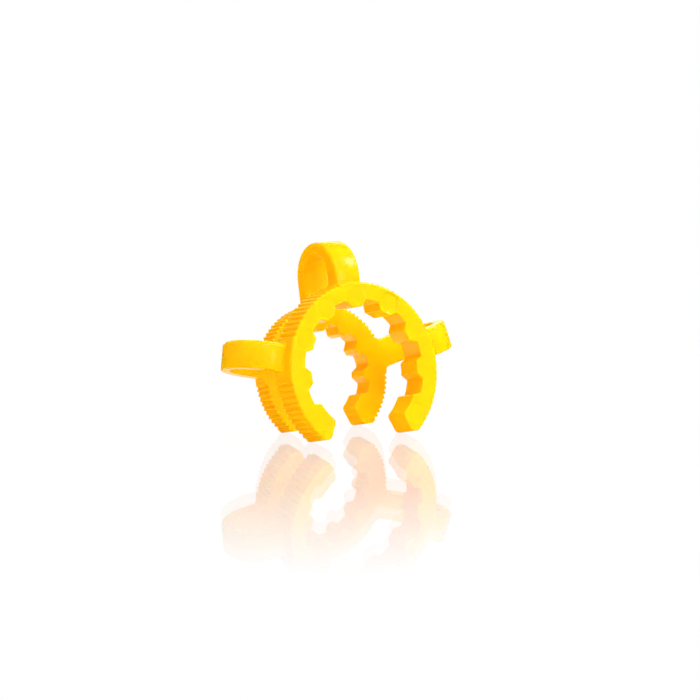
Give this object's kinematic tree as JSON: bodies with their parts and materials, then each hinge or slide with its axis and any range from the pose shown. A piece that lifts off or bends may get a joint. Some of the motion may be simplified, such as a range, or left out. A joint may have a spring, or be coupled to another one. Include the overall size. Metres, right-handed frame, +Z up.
{
  "type": "ground glass joint clip",
  "caption": "Yellow moulded spring clip for a ground glass joint: a large and a small open toothed ring, joined by arched straps, grip the socket and the cone's tube.",
  "frame": {"origin": "on the ground under the middle of the standing clip's box", "axes": "+Z up, -Y to the front, the larger ring's side, and +X to the right seen from the front; both rings' axis leans back 11.9 degrees from -Y"},
  "size_m": [0.0387, 0.0176, 0.0281],
  "materials": {
    "yellow_plastic": "glossy moulded acetal"
  },
  "bodies": {
    "root": {"joint_clip": "yellow_plastic"}
  },
  "joints": []
}
